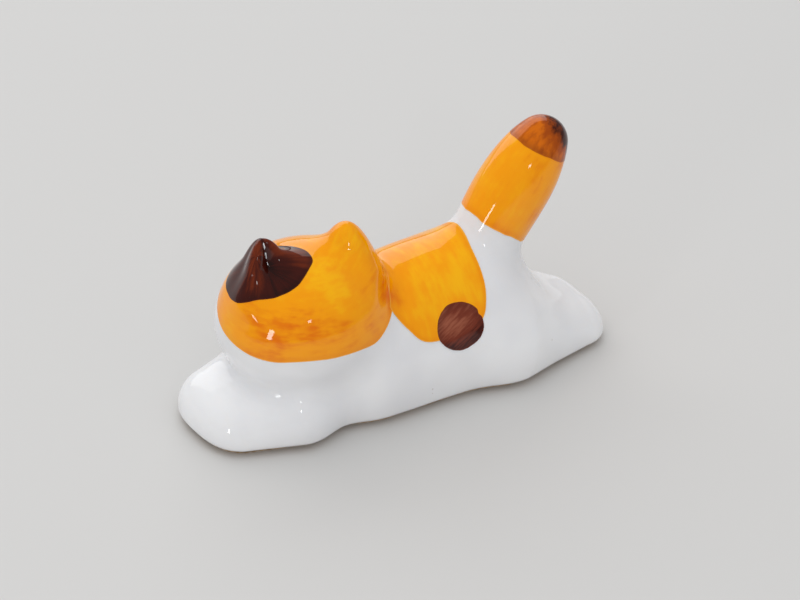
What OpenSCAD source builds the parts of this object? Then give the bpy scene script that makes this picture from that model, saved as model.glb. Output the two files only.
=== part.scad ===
// Chopstick rest in glazed porcelain: a cat that lies stretched out, with its tail up.
// X runs from the forepaws (negative) to the hind paws (positive), the face looks along +Y,
// Z is up, and the origin is on the table under the middle of the figure. Millimetres.
//
// The figure is modelled the way a potter builds it: rolled and pressed lumps of clay are
// pressed together and smoothed over, then painted. Each lump is a core, which is a ball or
// a limb between two balls. All cores together give one smooth skin, and each lump owns the
// clay under that skin which lies nearest to its own core. Neighbours share the same facets.

/* [Overall] */
// Length from forepaw tips to hind paw tips
overall_length = 62; // [54:1:76]
// Height of the flat unglazed foot under the glazed body
foot_height = 0.6; // [0.4:0.1:1]
// How far the foot stays inside the outline of the body
foot_inset = 1; // [0.8:0.1:2]

/* [Torso] */
// Width of the torso
torso_width = 22.6; // [19:0.2:27]
// Height of the back just behind the head
chest_height = 18.4; // [16:0.2:22]
// Height of the rump in front of the tail
rump_height = 19.8; // [16:0.2:23]
// Height of the widest line of the torso
belly_line = 5.6; // [4:0.2:7]
// Place of the chest core along the length
chest_x = -5.4; // [-8:0.2:-3]
// Place of the rump core along the length
rump_x = 11.8; // [8:0.2:15]
// How far the chest swells in front of its core
chest_reach = 12; // [9:0.2:14]
// How far the rump swells behind its core
rump_reach = 10.6; // [8:0.2:13]

/* [Head] */
// Width of the head from cheek to cheek
head_width = 24.4; // [21:0.2:28]
// Depth of the head from face to back
head_depth = 22.2; // [19:0.2:26]
// Height of the head without its ears
head_height = 21.6; // [19:0.2:25]
// Place of the head along the length
head_x = -13.6; // [-16:0.2:-11]
// Height of the middle of the head
head_z = 14.6; // [13:0.2:17]
// Turn of the face away from square, in degrees
head_turn = -6; // [-15:1:15]

/* [Ears] */
// Distance between the middles of the ears
ear_spacing = 12.6; // [9:0.2:15]
// Radius of an ear at its root
ear_root_radius = 4; // [3.6:0.1:5.2]
// Radius of an ear at its tip
ear_tip_radius = 1.6; // [1.2:0.1:2]
// Height of an ear above the crown of the head
ear_height = 2.6; // [1.8:0.1:4]

/* [Forelegs] */
// Radius of a foreleg at the shoulder
shoulder_radius = 5.5; // [4.6:0.1:6.5]
// Radius of a forepaw
forepaw_radius = 4.9; // [4.2:0.1:6]
// Distance between the middles of the shoulders
shoulder_spacing = 11.6; // [9:0.2:14]
// Distance between the middles of the forepaws
forepaw_spacing = 6.8; // [5:0.2:10]
// Place of the shoulders along the length
shoulder_x = -13; // [-16:0.2:-10]
// Height of the middle of the shoulders
shoulder_z = 4; // [3:0.2:6]
// Height of the middle of the forepaws above the table
forepaw_z = 1.8; // [1.2:0.1:2.6]

/* [Hind legs] */
// Radius of a hind leg at the hip
hip_radius = 6.4; // [5.4:0.1:7.4]
// Radius of a hind paw
hindpaw_radius = 5.6; // [4.8:0.1:6.4]
// Distance between the middles of the hips
hip_spacing = 10.8; // [9:0.2:14]
// Distance between the middles of the hind paws
hindpaw_spacing = 6; // [5:0.2:11]
// How far the hind paws swing to the side where the back of the head is
hind_swing = 1.8; // [0:0.1:2.4]
// Place of the hips along the length
hip_x = 15.4; // [12:0.2:17]
// Height of the middle of the hips
hip_z = 4.4; // [3:0.2:5.4]
// Height of the middle of the hind paws above the table
hindpaw_z = 1.2; // [0.8:0.1:2.2]

/* [Tail] */
// Height of the tail tip above the table
tail_top = 34.7; // [30:0.1:42]
// Radius of the tail at its root
tail_root_radius = 5; // [4.4:0.1:6.2]
// Radius of the tail at its bend
tail_mid_radius = 5.3; // [4:0.1:5.8]
// Radius of the tail at its tip
tail_tip_radius = 3.6; // [3:0.1:4.6]
// Place of the tail root along the length
tail_root_x = 13.5; // [11:0.2:16]
// Height of the tail root core
tail_root_z = 15.4; // [13:0.2:18]
// How far back the bend of the tail lies from its root
tail_mid_back = 6.3; // [3:0.1:8]
// How far back the tip of the tail lies from its root
tail_tip_back = 10.4; // [6:0.1:13]

/* [Smoothing] */
// Width of the smoothed seam between torso and legs
leg_blend = 4.6; // [2:0.2:5.4]
// Width of the smoothed seam at the root of the tail
tail_blend = 2.4; // [1.6:0.2:5]
// Width of the smoothed seam round the head
neck_blend = 2.6; // [1.4:0.2:4]
// Width of the smoothed seam round an ear
ear_blend = 3.2; // [1:0.2:4]
// Length of one facet of the clay
facet_length = 1.18; // [1.1:0.02:1.5]

/* [Colour coats] */
// Thickness of a coat of ceramic colour with the glaze over it
coat_thickness = 0.2; // [0.15:0.05:0.4]
// Slip and glaze between a coat and what it lies on
coat_gap = 0.16; // [0.12:0.02:0.2]
// Diameter of the brown spot on the flank
spot_diameter = 6.8; // [5:0.2:8]
// Height of the middle of the spot
spot_z = 12; // [9:0.2:13]
// Place of the spot along the length
spot_x = 5.6; // [4:0.2:8]
// Diameter of the brown patch round the left ear
ear_patch_diameter = 11; // [9:0.2:13]
// Length of the orange patch on the back
back_patch_length = 12.2; // [9:0.2:12.6]
// Distance from the middle of the head to the front of the orange patch
back_patch_start = 11.3; // [11.1:0.1:14]
// How far the orange patch reaches down each flank, in degrees from the top of the back
back_patch_turn = 62; // [40:1:66]
// Length of the brown tip of the tail
tail_tip_length = 4.6; // [3.8:0.2:7]
// Length of the orange band of the tail
tail_band_length = 12; // [9:0.2:13.4]

/* [Hidden] */
NODES = ["torso", "left_foreleg", "right_foreleg", "left_hind_leg", "right_hind_leg",
         "head", "left_ear", "right_ear", "tail", "foot",
         "head_cap", "ear_patch", "back_patch", "flank_spot", "tail_band", "tail_tip"];

clay_colour = "#e9e9ec";
bare_colour = "#cdb08c";
orange_colour = "#f5a315";
brown_colour = "#4a1c10";

// The hind legs swing to one side, so the finished figure is shifted by a share of that swing
// to the other side. It then stands with its middle over the origin.
shift_share = 0.29;
figure_shift = [0, shift_share * hind_swing, 0];

// Cores
// A core is [start, end, radii at the start, radii at the end].
head_middle = [head_x, 0, head_z];
head_radii = [head_width, head_depth, head_height] / 2;
crown_z = head_z + head_height / 2;
tail_root = [tail_root_x, 0, tail_root_z];
tail_tip_z = tail_top - tail_tip_radius;
tail_rise = tail_tip_z - tail_root_z;
// Share of the rise of the tail that lies below its bend
tail_mid_share = 0.64;
tail_mid = [tail_root_x + tail_mid_back, 0, tail_root_z + tail_mid_share * tail_rise];
tail_tip = [tail_root_x + tail_tip_back, 0, tail_tip_z];
torso_core = [[chest_x, 0, belly_line], [rump_x, 0, belly_line],
              [chest_reach, torso_width / 2, chest_height - belly_line],
              [rump_reach, torso_width / 2, rump_height - belly_line]];
head_core = [head_middle, head_middle, head_radii, head_radii];

function evenly(radius) = [radius, radius, radius];
function limb(start, end, start_radius, end_radius) =
    [start, end, evenly(start_radius), evenly(end_radius)];
function foreleg_core(side) =
    limb([shoulder_x, side * shoulder_spacing / 2, shoulder_z],
         [forepaw_radius - overall_length / 2, side * forepaw_spacing / 2, forepaw_z],
         shoulder_radius, forepaw_radius);
function hind_leg_core(side) =
    limb([hip_x, side * hip_spacing / 2 - hind_swing / 2, hip_z],
         [overall_length / 2 - hindpaw_radius, side * hindpaw_spacing / 2 - hind_swing, hindpaw_z],
         hip_radius, hindpaw_radius);
// Share of its radius by which the root of an ear lies under the crown
ear_root_share = 0.9;
function beside_head(side, z) =
    [head_x + side * ear_spacing / 2 * cos(head_turn), side * ear_spacing / 2 * sin(head_turn), z];
function ear_core(side) =
    limb(beside_head(side, crown_z - ear_root_share * ear_root_radius),
         beside_head(side, crown_z + ear_height - ear_tip_radius),
         ear_root_radius, ear_tip_radius);

// Owner of a point outside the skin
AIR = -1;
// The lumps, in the order of their nodes, in which they are joined: [cores, width of the seam]
LUMPS = [
    [[torso_core], leg_blend],
    [[foreleg_core(-1)], leg_blend],
    [[foreleg_core(1)], leg_blend],
    [[hind_leg_core(-1)], leg_blend],
    [[hind_leg_core(1)], leg_blend],
    [[head_core], neck_blend],
    [[ear_core(-1)], ear_blend],
    [[ear_core(1)], ear_blend],
    [[limb(tail_root, tail_mid, tail_root_radius, tail_mid_radius),
      limb(tail_mid, tail_tip, tail_mid_radius, tail_tip_radius)], tail_blend]
];

AXES = [[1, 0, 0], [0, 1, 0], [0, 0, 1]];

// Steps of a ray on its way out through the skin, and steps of a point on its way to a seam
coat_steps = 12;
seam_steps = 3;
// Small distance over which slopes are measured
probe_share = 0.02;
probe = probe_share * facet_length;

// Distances
// Distance of a point from the surface of a core, negative inside
function from_core(p, core) =
    let(run = core[1] - core[0],
        span = run * run,
        t = span == 0 ? 0 : min(1, max(0, (p - core[0]) * run / span)),
        middle = core[0] + t * run,
        radii = core[2] + t * (core[3] - core[2]),
        q = [for (i = [0:2]) (p[i] - middle[i]) / radii[i]],
        reach = norm(q),
        slope = norm([for (i = [0:2]) q[i] / radii[i]]))
    slope == 0 ? -min(radii) : reach * (reach - 1) / slope;

// Smaller of two distances, rounded off over a width
function soft_min(a, b, width) =
    let(h = max(width - abs(a - b), 0) / width) min(a, b) - h * h * width / 4;

function from_lump(p, lump) = min([for (core = lump[0]) from_core(p, core)]);
function from_lumps(p) = [for (lump = LUMPS) from_lump(p, lump)];
function join_distances(d, last) =
    last == 0 ? d[0] : soft_min(join_distances(d, last - 1), d[last], LUMPS[last][1]);

// Distance from the skin of the whole figure, before it is cut flat under its feet
function from_figure(p) = join_distances(from_lumps(p), len(LUMPS) - 1);

function index_of_least(d) =
    let(least = min(d)) [for (i = [0:len(d) - 1]) if (d[i] == least) i][0];

// Facets of one lump
// The space round the lump is a lattice of points. Each point has [distance from the skin,
// distances from the lumps, owner]. Each lattice cell with more than one owner gets a corner
// point, and each lattice edge between two owners gets two facets.
function sample(p) =
    let(d = from_lumps(p), skin = max(join_distances(d, len(d) - 1), foot_height - p[2]))
    [skin, d, skin < 0 ? index_of_least(d) : AIR];

// Share of the way from sample a to sample b at which the owner changes
function change_share(a, b) =
    let(solid = a[2] != AIR && b[2] != AIR,
        from = solid ? a[1][a[2]] - a[1][b[2]] : a[0],
        to = solid ? b[1][a[2]] - b[1][b[2]] : b[0])
    from / (from - to);

CELL = [for (i = [0:1]) for (j = [0:1]) for (k = [0:1]) [i, j, k]];
CELL_EDGES = [for (a = [0:6]) for (b = [a + 1:7]) if (norm(CELL[a] - CELL[b]) == 1) [a, b]];

function is_owner(samples, k) = len([for (s = samples) if (s[2] == k) s]) > 0;

// Corner point of a cell that starts at p, from its eight samples
function cell_point(p, samples) =
    let(cuts = [for (e = CELL_EDGES)
                let(a = samples[e[0]], b = samples[e[1]])
                if (a[2] != b[2])
                    CELL[e[0]] + change_share(a, b) * (CELL[e[1]] - CELL[e[0]])],
        n = len(cuts),
        middle = p + facet_length * [for (i = [0:2]) sum([for (cut = cuts) cut[i]]) / n],
        owners = [for (k = [0:len(LUMPS) - 1]) if (is_owner(samples, k)) k],
        on_seam = is_owner(samples, AIR) && len(owners) == 2)
    on_seam ? seam_point(middle, LUMPS[owners[0]], LUMPS[owners[1]], seam_steps) : middle;

// A point moved along the slope of a distance to where that distance is zero
function settled(p, distance) =
    let(d = distance(p),
        slope = [for (i = [0:2]) (distance(p + probe * AXES[i]) - d) / probe])
    p - d * slope / (slope * slope);

// A point moved to where the skin meets the boundary between two lumps
function seam_point(p, a, b, steps) =
    steps == 0 ? p
    : seam_point(settled(settled(p, function (q) from_lump(q, a) - from_lump(q, b)),
                         function (q) max(from_figure(q), foot_height - q[2])), a, b, steps - 1);

function sum(values) = values * [for (v = values) 1];

// Lowest and highest place that a lump reaches along an axis, with the rounded seam
function low_end(lump, i) =
    min([for (core = lump[0]) min(core[0][i] - core[2][i], core[1][i] - core[3][i])])
    - lump[1] / 2;
function high_end(lump, i) =
    max([for (core = lump[0]) max(core[0][i] + core[2][i], core[1][i] + core[3][i])])
    + lump[1] / 2;

module lump_of_clay(name) {
    own = search([name], NODES)[0];
    // Lattice points lie half a facet off the mid plane and half a facet off the foot
    base = [facet_length / 2, facet_length / 2, foot_height - facet_length / 2];
    lowest = [low_end(LUMPS[own], 0), low_end(LUMPS[own], 1), max(0, low_end(LUMPS[own], 2))];
    first = [for (i = [0:2]) floor((lowest[i] - base[i]) / facet_length) - 1];
    count = [for (i = [0:2]) ceil((high_end(LUMPS[own], i) - base[i]) / facet_length) - first[i] + 2];
    start = base + facet_length * first;
    function at(i, j, k) = (i * count[1] + j) * count[2] + k;
    lattice = [for (i = [0:count[0] - 1]) for (j = [0:count[1] - 1]) for (k = [0:count[2] - 1])
               sample(start + facet_length * [i, j, k])];
    step = [at(1, 0, 0), at(0, 1, 0), at(0, 0, 1)];
    corner = [for (c = CELL) c * step];
    function is_own(n) = lattice[n][2] == own ? 1 : 0;
    function own_corners(n) = sum([for (c = corner) is_own(n + c)]);
    cells = [for (i = [0:count[0] - 2]) for (j = [0:count[1] - 2]) for (k = [0:count[2] - 2])
             let(n = at(i, j, k), owned = own_corners(n))
             if (owned > 0 && owned < 8) [n, [i, j, k]]];
    points = [for (cell = cells)
              cell_point(start + facet_length * cell[1], [for (c = corner) lattice[cell[0] + c]])];
    // Number of the point of each cell, by the number of the lattice point at which it starts
    number = [for (n = 0, c = 0; n < len(lattice);
                   c = c + (c < len(cells) && cells[c][0] == n ? 1 : 0), n = n + 1) c];
    faces = [for (i = [1:count[0] - 2]) for (j = [1:count[1] - 2]) for (k = [1:count[2] - 2])
             for (axis = [0:2])
             let(n = at(i, j, k), here = is_own(n), there = is_own(n + step[axis]))
             if (here != there)
             let(u = step[(axis + 1) % 3], v = step[(axis + 2) % 3],
                 quad = [number[n - u - v], number[n - v], number[n], number[n - u]],
                 turned = here == 1 ? [quad[0], quad[3], quad[2], quad[1]] : quad)
             for (half = [0, 1])
                 [turned[0], turned[1 + half], turned[2 + half]]];
    translate(figure_shift)
        polyhedron(points, faces);
}

// Coats of colour
// A place is [point inside the figure, direction]. The ray from it leaves through the skin.
function leave(place, lift, t, steps) =
    steps == 0 ? place[0] + t * place[1]
    : leave(place, lift, t - from_figure(place[0] + t * place[1]) + lift, steps - 1);
function skin_point(place, lift) = leave(place, lift, 0, coat_steps);
function unit(v) = v / norm(v);
// Direction away from the skin, from a small step along each axis
function outward(p) =
    let(d = from_figure(p))
    unit([for (axis = AXES) from_figure(p + probe * axis) - d]);

// A coat is a sheet between the skin and a little above it. Its place at share r of the way
// from its middle to its edge, and at angle a round its middle, comes from place(r, a).
// A band has no middle: its first ring is an open edge.
module coat(place, rings, sides, layer = 0, band = false) {
    lift = coat_gap + layer * (coat_gap + coat_thickness);
    grid = [for (ring = [band ? 0 : 1:rings]) for (side = [0:sides - 1])
            skin_point(place(ring / rings, side * 360 / sides), lift)];
    under = band ? grid : concat([skin_point(place(0, 0), lift)], grid);
    over = [for (p = under) p + coat_thickness * outward(p)];
    n = len(under);
    ring_count = band ? rings + 1 : rings;
    function number(ring, side) = (band ? 0 : 1) + ring * sides + side % sides;
    middle = band ? [] : [for (side = [0:sides - 1]) [0, number(0, side + 1), number(0, side)]];
    function halves(a, b, c, d) = [[a, b, c], [a, c, d]];
    sheet = [for (ring = [0:ring_count - 2]) for (side = [0:sides - 1])
             each halves(number(ring, side), number(ring, side + 1),
                         number(ring + 1, side + 1), number(ring + 1, side))];
    top = concat(middle, sheet);
    function rim(ring) = [for (side = [0:sides - 1])
                          let(a = number(ring, side), b = number(ring, side + 1))
                          each halves(a, b, b + n, a + n)];
    function turned(facets) = [for (f = facets) [f[0], f[2], f[1]]];
    faces = concat(turned(top), [for (f = top) [f[0] + n, f[1] + n, f[2] + n]],
                   turned(rim(ring_count - 1)), band ? rim(0) : []);
    translate(figure_shift)
        polyhedron(concat(under, over), faces);
}

module torso() color(clay_colour) lump_of_clay("torso");
module left_foreleg() color(clay_colour) lump_of_clay("left_foreleg");
module right_foreleg() color(clay_colour) lump_of_clay("right_foreleg");
module left_hind_leg() color(clay_colour) lump_of_clay("left_hind_leg");
module right_hind_leg() color(clay_colour) lump_of_clay("right_hind_leg");
module head() color(clay_colour) lump_of_clay("head");
module left_ear() color(clay_colour) lump_of_clay("left_ear");
module right_ear() color(clay_colour) lump_of_clay("right_ear");
module tail() color(clay_colour) lump_of_clay("tail");

// Where one end of a core stands on the foot: the ellipse at the height of the foot, inset
module footprint(core, end) {
    middle = core[end];
    radii = core[2 + end];
    spread = sqrt(max(0, 1 - pow((middle[2] - foot_height) / radii[2], 2)));
    translate([middle[0], middle[1]])
        scale([radii[0] * spread - foot_inset, radii[1] * spread - foot_inset])
            circle(1, $fn = 48);
}

// Unglazed foot, a flat plate inside the outline of the body
module foot() {
    cores = [torso_core, foreleg_core(-1), foreleg_core(1), hind_leg_core(-1), hind_leg_core(1)];
    color(bare_colour) translate(figure_shift) linear_extrude(foot_height)
        for (core = cores)
            hull()
                for (end = [0, 1])
                    footprint(core, end);
}

// Edge of the orange cap round the head, as angles down from the crown. The first is at the
// back of the head, and they go on past the torso, the face and the outer cheek in equal steps.
cap_edge_angles = [90, 91, 86, 74, 64, 61, 63, 64, 60, 56, 52, 50,
                   52, 57, 64, 71, 77, 80, 83, 86, 89, 90, 89, 89];
function along_ring(values, a) =
    let(n = len(values), s = a / 360 * n, i = floor(s), f = s - i)
    values[i % n] * (1 - f) + values[(i + 1) % n] * f;
function from_crown(down, round) = [sin(down) * sin(round), -sin(down) * cos(round), cos(down)];

module head_cap() {
    place = function (r, a) [head_middle, from_crown(r * along_ring(cap_edge_angles, a), a)];
    color(orange_colour) coat(place, rings = 17, sides = 48);
}

// Two directions square to an axis
function across(axis) = let(u = unit(cross(axis, [0, 1, 0]))) [u, cross(axis, u)];
// Direction at an angle from an axis, turned round it
function off_axis(axis, lean, turn) =
    let(u = across(axis)) cos(lean) * axis + sin(lean) * (cos(turn) * u[0] + sin(turn) * u[1]);

module ear_patch() {
    ear = unit(beside_head(-1, crown_z) - head_middle);
    edge = asin(ear_patch_diameter / head_width);
    place = function (r, a) [head_middle, off_axis(ear, r * edge, a)];
    color(brown_colour) coat(place, rings = 9, sides = 24, layer = 1);
}

// Reach of an outline between a circle (power 2) and a square (a high power), at angle a
outline_power = 3.4;
function rounded_square(a) =
    pow(pow(abs(cos(a)), outline_power) + pow(abs(sin(a)), outline_power), -1 / outline_power);

module back_patch() {
    middle_x = head_x + back_patch_start + back_patch_length / 2;
    place = function (r, a)
        [[middle_x + r * back_patch_length / 2 * rounded_square(a) * cos(a), 0, belly_line],
         from_crown(r * back_patch_turn * rounded_square(a) * sin(a), 180)];
    color(orange_colour) coat(place, rings = 9, sides = 36);
}

module flank_spot() {
    place = function (r, a)
        let(reach = r * spot_diameter / 2)
        [[spot_x + reach * cos(a), -torso_width / 4, spot_z + reach * sin(a)], [0, -1, 0]];
    color(brown_colour) coat(place, rings = 4, sides = 20, layer = 1);
}

// Point and direction of the axis of the tail, s below the middle of its rounded tip
tip_run = norm(tail_tip - tail_mid);
root_run = norm(tail_mid - tail_root);
function tail_axis(s) =
    let(tip_way = unit(tail_tip - tail_mid), root_way = unit(tail_mid - tail_root),
        point = s < tip_run ? tail_tip - s * tip_way : tail_mid - (s - tip_run) * root_way,
        f = min(1, max(0, s / (tip_run + root_run))))
    [point, unit((1 - f) * tip_way + f * root_way)];

tip_coat_end = tail_tip_length - tail_tip_radius;
module tail_tip() {
    round_run = tail_tip_radius * PI / 2;
    place = function (r, a)
        let(s = r * (round_run + tip_coat_end), axis = tail_axis(max(0, s - round_run)))
        [axis[0], off_axis(axis[1], min(90, 90 * s / round_run), a)];
    color(brown_colour) coat(place, rings = 6, sides = 20);
}
module tail_band() {
    place = function (r, a)
        let(axis = tail_axis(tip_coat_end + coat_gap + r * tail_band_length))
        [axis[0], off_axis(axis[1], 90, a)];
    color(orange_colour) coat(place, rings = 9, sides = 20, band = true);
}

torso();
left_foreleg();
right_foreleg();
left_hind_leg();
right_hind_leg();
head();
left_ear();
right_ear();
tail();
foot();
head_cap();
ear_patch();
back_patch();
flank_spot();
tail_band();
tail_tip();
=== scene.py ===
# A chopstick rest in glazed porcelain: a cat that lies stretched out, with its tail up.
# Sizes are in millimetres and angles in degrees, unless a comment says otherwise. Meshes and
# the camera are put into metres as they are made, and lamps and the floor are given in metres.
import itertools
import math

import bpy
import numpy as np
from mathutils import Matrix, Vector


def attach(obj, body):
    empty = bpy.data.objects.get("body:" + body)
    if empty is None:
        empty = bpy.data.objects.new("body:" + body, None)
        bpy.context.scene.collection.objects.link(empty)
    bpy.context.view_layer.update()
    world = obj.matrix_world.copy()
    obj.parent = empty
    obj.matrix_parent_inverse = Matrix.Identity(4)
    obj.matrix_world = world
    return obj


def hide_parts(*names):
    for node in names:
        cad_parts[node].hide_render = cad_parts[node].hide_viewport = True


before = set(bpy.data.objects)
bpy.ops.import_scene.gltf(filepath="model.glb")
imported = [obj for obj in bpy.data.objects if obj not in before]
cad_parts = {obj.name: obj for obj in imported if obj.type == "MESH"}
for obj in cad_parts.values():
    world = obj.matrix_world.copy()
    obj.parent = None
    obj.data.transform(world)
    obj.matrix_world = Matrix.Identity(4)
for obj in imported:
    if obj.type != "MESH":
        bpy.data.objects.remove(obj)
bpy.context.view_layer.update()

MM = 0.001
AXES = np.eye(3)
LEFT, RIGHT = SIDES = (-1, 1)

# Driving sizes, the same as those of the solids
OVERALL_LENGTH = 62.0
FOOT_HEIGHT = 0.6
FOOT_INSET = 1.0
TORSO_WIDTH = 22.6
CHEST_HEIGHT = 18.4
RUMP_HEIGHT = 19.8
BELLY_LINE = 5.6
CHEST_X = -5.4
RUMP_X = 11.8
CHEST_REACH = 12.0
RUMP_REACH = 10.6
HEAD_WIDTH = 24.4
HEAD_DEPTH = 22.2
HEAD_HEIGHT = 21.6
HEAD_X = -13.6
HEAD_Z = 14.6
HEAD_TURN = -6.0
EAR_SPACING = 12.6
EAR_ROOT_RADIUS = 4.0
EAR_HEIGHT = 2.6
EAR_ROOT_SHARE = 0.9
SHOULDER_RADIUS = 5.5
FOREPAW_RADIUS = 4.9
SHOULDER_SPACING = 11.6
FOREPAW_SPACING = 6.8
SHOULDER_X = -13.0
SHOULDER_Z = 4.0
FOREPAW_Z = 1.8
HIP_RADIUS = 6.4
HINDPAW_RADIUS = 5.6
HIP_SPACING = 10.8
HINDPAW_SPACING = 6.0
HIP_X = 15.4
HIP_Z = 4.4
HINDPAW_Z = 1.2
HIND_SWING = 1.8
SWING_SHARE = 0.29
TAIL_TOP = 34.7
TAIL_ROOT = np.array([13.5, 0, 15.4])
TAIL_TIP_RADIUS = 3.6
TAIL_MID_BACK = 6.3
TAIL_TIP_BACK = 10.4
TAIL_MID_SHARE = 0.64
LEG_BLEND = 4.6
TAIL_BLEND = 2.4
NECK_BLEND = 2.6

# The whole figure is moved across by a share of the swing of its hind legs, to the middle
FIGURE_SHIFT = np.array([0, SWING_SHARE * HIND_SWING, 0])

# Finer shape, which the solids leave out. The left legs are the near ones in the picture.
EDGE_ROLL = 1.3
FOOT_ROUND = 0.15
FOOT_OVERLAP = 0.08
CROWN_RUB = 0.3
EAR_FLARE = {LEFT: 0.2, RIGHT: 0.26}
EAR_TIP_ROUND = {LEFT: 1.0, RIGHT: 1.4}
EAR_PINCH = {LEFT: 0.45, RIGHT: 0.05}
EAR_HOLLOW_TURN = {LEFT: -82.0, RIGHT: -120.0}
EAR_SINK = 2.0
EAR_SHIFT = {LEFT: (0.65, 0, -0.25), RIGHT: (0.3, 0, 0)}
EAR_BLEND = {LEFT: 1.9, RIGHT: 1.7}
SHOULDER_SHIFT = {LEFT: (-4.5, -0.1, -0.5), RIGHT: (0, 0, 0)}
FOREPAW_SHIFT = {LEFT: (1.55, 0, 0), RIGHT: (0.4, 0, 0)}
FOREPAW_BLEND = 7.5
HINDPAW_SHIFT = {LEFT: (1.5, -0.4, 0.2), RIGHT: (0.6, 0, 0)}
HINDPAW_CUT = {LEFT: 1.2, RIGHT: 0.6}
TAIL_SHARES = (0, 0.35, 0.7, 1)
TAIL_GIRTH = (5.0, 5.15, 5.1, TAIL_TIP_RADIUS)
TAIL_STEPS = 4

# Mesh sizes, limits for flat places, steps of smoothing, and the room that the mesh has beyond
# the driving sizes
SKIN_STEP = 0.42
FOOT_STEP = 0.3
PROBE = 0.01
LEAST_SLOPE = 0.0001
LEAST_SQUARED_SLOPE = 0.01
SETTLE_STEPS = 2
RELAX_STEPS = 4
ROOM_BELOW = np.array([1.5, 2.5, 0.9])
ROOM_ABOVE = np.array([1.5, 2.5, 1.5])
FOOT_ROOM = 2.0

# Coats of colour reach from this far under the skin to this far over it, or to a few times
# that where one coat lies on another
COAT_SINK = 0.08
COAT_LIFT = 0.035

# A coat is cut out of the faces of the skin up to this many steps outside its outline. A point
# nearer to the outline than this share of a step counts as on it, and an outline through
# corners is read at this many places.
COAT_MARGIN = 1.5
SNAP_SHARE = 0.1
OUTLINE_POINTS = 720

# Waves round a brushed edge: how many there are, their height, and how far a start of one
# shifts them. The ripple of an edge is the size of its waves and their start.
EDGE_WAVES = [(5, 0.5, 1.0), (9, 0.25, 2.3), (17, 0.125, 3.1)]

# Depth of points that are far outside an outline
FAR_OUTSIDE = -9.0


def unit(vectors):
    """Vectors along the last axis, made one long."""
    vectors = np.asarray(vectors, float)
    return vectors / np.linalg.norm(vectors, axis=-1, keepdims=True)


# Cores, as [start, end, radii at the start, radii at the end]
def limb(start, end, start_radii, end_radii):
    """A core between two balls, whose radii are one number or three."""
    return [np.ones(3) * value for value in (start, end, start_radii, end_radii)]


def foreleg(side):
    """The core of a foreleg, from its shoulder to its paw."""
    shoulder = np.array([SHOULDER_X, side * SHOULDER_SPACING / 2, SHOULDER_Z])
    paw = np.array([FOREPAW_RADIUS - OVERALL_LENGTH / 2, side * FOREPAW_SPACING / 2, FOREPAW_Z])
    return limb(shoulder + SHOULDER_SHIFT[side], paw + FOREPAW_SHIFT[side],
                SHOULDER_RADIUS, FOREPAW_RADIUS)


def hind_leg(side):
    """The core of a hind leg, from its hip to its paw."""
    hip = np.array([HIP_X, side * HIP_SPACING / 2 - HIND_SWING / 2, HIP_Z])
    paw = np.array([OVERALL_LENGTH / 2 - HINDPAW_RADIUS, side * HINDPAW_SPACING / 2 - HIND_SWING,
                    HINDPAW_Z])
    return limb(hip, paw + HINDPAW_SHIFT[side], HIP_RADIUS, HINDPAW_RADIUS - HINDPAW_CUT[side])


def beside_head(side, z):
    """A place over the head, to one side of its middle along the line of the ears."""
    turn = math.radians(HEAD_TURN)
    reach = side * EAR_SPACING / 2
    return np.array([HEAD_X + reach * math.cos(turn), reach * math.sin(turn), z])


CROWN_Z = HEAD_Z + HEAD_HEIGHT / 2
HEAD_MIDDLE = np.array([HEAD_X, 0, HEAD_Z])
HEAD_RADII = np.array([HEAD_WIDTH, HEAD_DEPTH, HEAD_HEIGHT]) / 2 - (0, 0, CROWN_RUB)
HEAD = limb(HEAD_MIDDLE, HEAD_MIDDLE, HEAD_RADII, HEAD_RADII)
TORSO = [np.array([CHEST_X, 0, BELLY_LINE]), np.array([RUMP_X, 0, BELLY_LINE]),
         np.array([CHEST_REACH, TORSO_WIDTH / 2, CHEST_HEIGHT - BELLY_LINE]),
         np.array([RUMP_REACH, TORSO_WIDTH / 2, RUMP_HEIGHT - BELLY_LINE])]
FORELEGS = [foreleg(side) for side in SIDES]
HIND_LEGS = [hind_leg(side) for side in SIDES]

# Roots of the ears, and how high their tips stand over them
EAR_ROOTS = {side: beside_head(side, CROWN_Z - EAR_ROOT_SHARE * EAR_ROOT_RADIUS) for side in SIDES}
EAR_RISE = EAR_HEIGHT + EAR_ROOT_SHARE * EAR_ROOT_RADIUS

# The axis of the tail bends smoothly through its root, middle and tip, and its radius swells
# and narrows smoothly along it. Both are polynomials of the share of the way up.
TAIL_TIP_Z = TAIL_TOP - TAIL_TIP_RADIUS
TAIL_RISE = TAIL_TIP_Z - TAIL_ROOT[2]
TAIL_MID = TAIL_ROOT + (TAIL_MID_BACK, 0, TAIL_MID_SHARE * TAIL_RISE)
TAIL_TIP = np.array([TAIL_ROOT[0] + TAIL_TIP_BACK, 0, TAIL_TIP_Z])
TAIL_DOWN = unit(TAIL_MID - TAIL_TIP)
TAIL_CURVE = np.polyfit([0, TAIL_MID_SHARE, 1], np.array([TAIL_ROOT, TAIL_MID, TAIL_TIP]), 2)
TAIL_SWELL = np.polyfit(TAIL_SHARES, TAIL_GIRTH, 3)


# Distances
def from_core(points, core):
    """Distance of points from the surface of a core."""
    start, end, start_radii, end_radii = core
    run = end - start
    span = run @ run
    share = np.zeros((len(points), 1))
    if span > 0:
        share = np.clip((points - start) @ run / span, 0, 1)[:, None]
    radii = start_radii + share * (end_radii - start_radii)
    if start_radii[0] == start_radii[2]:
        return np.linalg.norm(points - start - share * run, axis=1) - radii[:, 0]
    scaled = (points - start - share * run) / radii
    reach = np.linalg.norm(scaled, axis=1)
    slope = np.linalg.norm(scaled / radii, axis=1)
    middle = slope < LEAST_SLOPE
    return np.where(middle, -radii.min(axis=1), reach * (reach - 1) / np.where(middle, 1, slope))


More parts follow.
